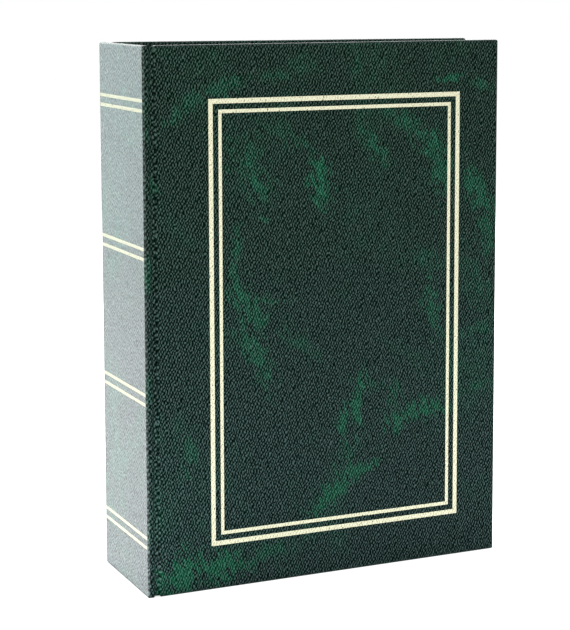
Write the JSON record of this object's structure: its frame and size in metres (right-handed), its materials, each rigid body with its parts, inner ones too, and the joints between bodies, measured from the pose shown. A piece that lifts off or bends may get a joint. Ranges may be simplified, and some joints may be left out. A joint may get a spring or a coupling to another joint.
{
  "type": "stamp album",
  "caption": "Upright case-bound stock album: hinged leatherette covers with gilt lines, flat spine, and black card leaves with clear pocket strips.",
  "frame": {"origin": "centre of the album's outline at the tail edge, on the surface that it stands on", "axes": "+Z from tail to head, +X from the spine to the fore-edge, +Y from the front cover to the back cover"},
  "size_m": [0.165, 0.0582, 0.225],
  "materials": {
    "leatherette": "fine-grained dark green marbled bookbinding leatherette, satin",
    "gilding": "pale gold hot-stamped foil, satin",
    "greyboard": "grey bookbinding board, matt",
    "endpaper": "black endpaper, matt",
    "black_card": "black album card, matt",
    "mull": "open-weave cotton mull",
    "clear_strips": "crystal-clear film"
  },
  "bodies": {
    "spine": {"spine_board": "greyboard", "spine_covering": "leatherette", "front_groove_cloth": "leatherette", "back_groove_cloth": "leatherette", "spine_bands": "gilding", "spine_lining": "endpaper", "mull": "mull", "guards": "black_card"},
    "front_cover": {"front_board": "greyboard", "front_covering": "leatherette", "front_outer_line": "gilding", "front_inner_line": "gilding", "front_infill": "greyboard", "front_pastedown": "endpaper"},
    "back_cover": {"back_board": "greyboard", "back_covering": "leatherette", "back_infill": "greyboard", "back_pastedown": "endpaper"},
    "front_flyleaf": {"front_flyleaf": "endpaper"},
    "back_flyleaf": {"back_flyleaf": "endpaper"},
    "leaf_01": {"leaf_01": "black_card", "leaf_01_strips": "clear_strips"},
    "leaf_02": {"leaf_02": "black_card", "leaf_02_strips": "clear_strips"},
    "leaf_03": {"leaf_03": "black_card", "leaf_03_strips": "clear_strips"},
    "leaf_04": {"leaf_04": "black_card", "leaf_04_strips": "clear_strips"},
    "leaf_05": {"leaf_05": "black_card", "leaf_05_strips": "clear_strips"},
    "leaf_06": {"leaf_06": "black_card", "leaf_06_strips": "clear_strips"},
    "leaf_07": {"leaf_07": "black_card", "leaf_07_strips": "clear_strips"},
    "leaf_08": {"leaf_08": "black_card", "leaf_08_strips": "clear_strips"},
    "leaf_09": {"leaf_09": "black_card", "leaf_09_strips": "clear_strips"},
    "leaf_10": {"leaf_10": "black_card", "leaf_10_strips": "clear_strips"},
    "leaf_11": {"leaf_11": "black_card", "leaf_11_strips": "clear_strips"},
    "leaf_12": {"leaf_12": "black_card", "leaf_12_strips": "clear_strips"},
    "leaf_13": {"leaf_13": "black_card", "leaf_13_strips": "clear_strips"},
    "leaf_14": {"leaf_14": "black_card", "leaf_14_strips": "clear_strips"},
    "leaf_15": {"leaf_15": "black_card", "leaf_15_strips": "clear_strips"},
    "leaf_16": {"leaf_16": "black_card", "leaf_16_strips": "clear_strips"},
    "leaf_17": {"leaf_17": "black_card", "leaf_17_strips": "clear_strips"},
    "leaf_18": {"leaf_18": "black_card", "leaf_18_strips": "clear_strips"},
    "leaf_19": {"leaf_19": "black_card", "leaf_19_strips": "clear_strips"},
    "leaf_20": {"leaf_20": "black_card", "leaf_20_strips": "clear_strips"}
  },
  "joints": [
    {"name": "front_cover_hinge", "type": "hinge", "parent": "spine", "child": "front_cover", "pos_m": [-0.0786, -0.0294, 0.1125], "axis": [0, 0, -1], "range_deg": [0, 184.48]},
    {"name": "back_cover_hinge", "type": "hinge", "parent": "spine", "child": "back_cover", "pos_m": [-0.0786, 0.0294, 0.1125], "axis": [0, 0, 1], "range_deg": [0, 184.48]},
    {"name": "front_flyleaf_turn", "type": "hinge", "parent": "spine", "child": "front_flyleaf", "pos_m": [-0.0725, -0.02492, 0.1125], "axis": [0, 0, -1], "range_deg": [0, 77.98]},
    {"name": "leaf_01_turn", "type": "hinge", "parent": "spine", "child": "leaf_01", "pos_m": [-0.0725, -0.02328, 0.1125], "axis": [0, 0, -1], "range_deg": [0, 68.75]},
    {"name": "leaf_02_turn", "type": "hinge", "parent": "spine", "child": "leaf_02", "pos_m": [-0.0725, -0.02082, 0.1125], "axis": [0, 0, -1], "range_deg": [0, 61.91]},
    {"name": "leaf_03_turn", "type": "hinge", "parent": "spine", "child": "leaf_03", "pos_m": [-0.0725, -0.01837, 0.1125], "axis": [0, 0, -1], "range_deg": [0, 55.06]},
    {"name": "leaf_04_turn", "type": "hinge", "parent": "spine", "child": "leaf_04", "pos_m": [-0.0725, -0.01593, 0.1125], "axis": [0, 0, -1], "range_deg": [0, 48.21]},
    {"name": "leaf_05_turn", "type": "hinge", "parent": "spine", "child": "leaf_05", "pos_m": [-0.0725, -0.01348, 0.1125], "axis": [0, 0, -1], "range_deg": [0, 41.36]},
    {"name": "leaf_06_turn", "type": "hinge", "parent": "spine", "child": "leaf_06", "pos_m": [-0.0725, -0.01103, 0.1125], "axis": [0, 0, -1], "range_deg": [0, 34.52]},
    {"name": "leaf_07_turn", "type": "hinge", "parent": "spine", "child": "leaf_07", "pos_m": [-0.0725, -0.00857, 0.1125], "axis": [0, 0, -1], "range_deg": [0, 27.67]},
    {"name": "leaf_08_turn", "type": "hinge", "parent": "spine", "child": "leaf_08", "pos_m": [-0.0725, -0.00613, 0.1125], "axis": [0, 0, -1], "range_deg": [0, 20.82]},
    {"name": "leaf_09_turn", "type": "hinge", "parent": "spine", "child": "leaf_09", "pos_m": [-0.0725, -0.00367, 0.1125], "axis": [0, 0, -1], "range_deg": [0, 13.97]},
    {"name": "leaf_10_turn", "type": "hinge", "parent": "spine", "child": "leaf_10", "pos_m": [-0.0725, -0.00122, 0.1125], "axis": [0, 0, -1], "range_deg": [0, 7.12]},
    {"name": "leaf_11_turn", "type": "hinge", "parent": "spine", "child": "leaf_11", "pos_m": [-0.0725, 0.00122, 0.1125], "axis": [0, 0, 1], "range_deg": [0, 7.12]},
    {"name": "leaf_12_turn", "type": "hinge", "parent": "spine", "child": "leaf_12", "pos_m": [-0.0725, 0.00367, 0.1125], "axis": [0, 0, 1], "range_deg": [0, 13.97]},
    {"name": "leaf_13_turn", "type": "hinge", "parent": "spine", "child": "leaf_13", "pos_m": [-0.0725, 0.00613, 0.1125], "axis": [0, 0, 1], "range_deg": [0, 20.82]},
    {"name": "leaf_14_turn", "type": "hinge", "parent": "spine", "child": "leaf_14", "pos_m": [-0.0725, 0.00857, 0.1125], "axis": [0, 0, 1], "range_deg": [0, 27.67]},
    {"name": "leaf_15_turn", "type": "hinge", "parent": "spine", "child": "leaf_15", "pos_m": [-0.0725, 0.01103, 0.1125], "axis": [0, 0, 1], "range_deg": [0, 34.52]},
    {"name": "leaf_16_turn", "type": "hinge", "parent": "spine", "child": "leaf_16", "pos_m": [-0.0725, 0.01348, 0.1125], "axis": [0, 0, 1], "range_deg": [0, 41.36]},
    {"name": "leaf_17_turn", "type": "hinge", "parent": "spine", "child": "leaf_17", "pos_m": [-0.0725, 0.01593, 0.1125], "axis": [0, 0, 1], "range_deg": [0, 48.21]},
    {"name": "leaf_18_turn", "type": "hinge", "parent": "spine", "child": "leaf_18", "pos_m": [-0.0725, 0.01837, 0.1125], "axis": [0, 0, 1], "range_deg": [0, 55.06]},
    {"name": "leaf_19_turn", "type": "hinge", "parent": "spine", "child": "leaf_19", "pos_m": [-0.0725, 0.02082, 0.1125], "axis": [0, 0, 1], "range_deg": [0, 61.91]},
    {"name": "leaf_20_turn", "type": "hinge", "parent": "spine", "child": "leaf_20", "pos_m": [-0.0725, 0.02328, 0.1125], "axis": [0, 0, 1], "range_deg": [0, 68.75]},
    {"name": "back_flyleaf_turn", "type": "hinge", "parent": "spine", "child": "back_flyleaf", "pos_m": [-0.0725, 0.02492, 0.1125], "axis": [0, 0, 1], "range_deg": [0, 77.98]}
  ],
  "couplings": [
    {"joint": "front_flyleaf_turn", "follows": "front_cover_hinge", "ratio": 0.41998},
    {"joint": "leaf_01_turn", "follows": "front_cover_hinge", "ratio": 0.36998},
    {"joint": "leaf_02_turn", "follows": "front_cover_hinge", "ratio": 0.33287},
    {"joint": "leaf_03_turn", "follows": "front_cover_hinge", "ratio": 0.29574},
    {"joint": "leaf_04_turn", "follows": "front_cover_hinge", "ratio": 0.25862},
    {"joint": "leaf_05_turn", "follows": "front_cover_hinge", "ratio": 0.22151},
    {"joint": "leaf_06_turn", "follows": "front_cover_hinge", "ratio": 0.18438},
    {"joint": "leaf_07_turn", "follows": "front_cover_hinge", "ratio": 0.14727},
    {"joint": "leaf_08_turn", "follows": "front_cover_hinge", "ratio": 0.11015},
    {"joint": "leaf_09_turn", "follows": "front_cover_hinge", "ratio": 0.073026},
    {"joint": "leaf_10_turn", "follows": "front_cover_hinge", "ratio": 0.035906},
    {"joint": "leaf_11_turn", "follows": "back_cover_hinge", "ratio": 0.035906},
    {"joint": "leaf_12_turn", "follows": "back_cover_hinge", "ratio": 0.073026},
    {"joint": "leaf_13_turn", "follows": "back_cover_hinge", "ratio": 0.11015},
    {"joint": "leaf_14_turn", "follows": "back_cover_hinge", "ratio": 0.14727},
    {"joint": "leaf_15_turn", "follows": "back_cover_hinge", "ratio": 0.18438},
    {"joint": "leaf_16_turn", "follows": "back_cover_hinge", "ratio": 0.22151},
    {"joint": "leaf_17_turn", "follows": "back_cover_hinge", "ratio": 0.25862},
    {"joint": "leaf_18_turn", "follows": "back_cover_hinge", "ratio": 0.29574},
    {"joint": "leaf_19_turn", "follows": "back_cover_hinge", "ratio": 0.33287},
    {"joint": "leaf_20_turn", "follows": "back_cover_hinge", "ratio": 0.36998},
    {"joint": "back_flyleaf_turn", "follows": "back_cover_hinge", "ratio": 0.41998}
  ]
}
